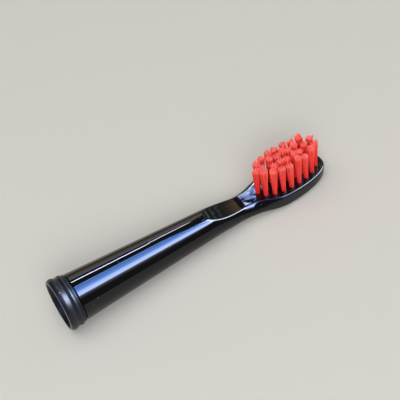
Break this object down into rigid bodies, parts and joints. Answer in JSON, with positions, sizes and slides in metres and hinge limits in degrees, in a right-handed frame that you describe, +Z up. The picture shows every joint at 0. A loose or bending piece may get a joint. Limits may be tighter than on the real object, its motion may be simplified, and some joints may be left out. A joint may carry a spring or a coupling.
{
  "type": "electric toothbrush head",
  "caption": "Replacement head for an electric toothbrush: hollow tapered black barrel with a ridged base ring, scooped neck and oval plate with red bristle tufts.",
  "frame": {"origin": "on the surface that the head lies on, below the middle of its bounding box", "axes": "+X from the open base to the tip, +Z up along the bristles, +Y across the head"},
  "size_m": [0.0805, 0.0144, 0.0144],
  "materials": {
    "gloss_black": "high-gloss moulded black plastic",
    "ring_black": "satin moulded dark plastic",
    "bristle_red": "red nylon filament",
    "insert_plastic": "dark moulded plastic",
    "spring_steel": "bright strip steel",
    "anchor_brass": "plain brass strip"
  },
  "bodies": {
    "root": {"base_ring": "ring_black", "drive_insert": "insert_plastic", "head_moulding": "gloss_black", "shaft_spring": "spring_steel", "tuft_01": "bristle_red", "tuft_02": "bristle_red", "tuft_03": "bristle_red", "tuft_04": "bristle_red", "tuft_05": "bristle_red", "tuft_06": "bristle_red", "tuft_07": "bristle_red", "tuft_08": "bristle_red", "tuft_09": "bristle_red", "tuft_10": "bristle_red", "tuft_11": "bristle_red", "tuft_12": "bristle_red", "tuft_13": "bristle_red", "tuft_14": "bristle_red", "tuft_15": "bristle_red", "tuft_16": "bristle_red", "tuft_17": "bristle_red", "tuft_18": "bristle_red", "tuft_19": "bristle_red", "tuft_20": "bristle_red", "tuft_21": "bristle_red", "tuft_22": "bristle_red", "tuft_23": "bristle_red", "tuft_24": "bristle_red", "tuft_25": "bristle_red", "tuft_26": "bristle_red", "tuft_27": "bristle_red", "tuft_28": "bristle_red", "tuft_29": "bristle_red", "tuft_anchors": "anchor_brass"}
  },
  "joints": []
}
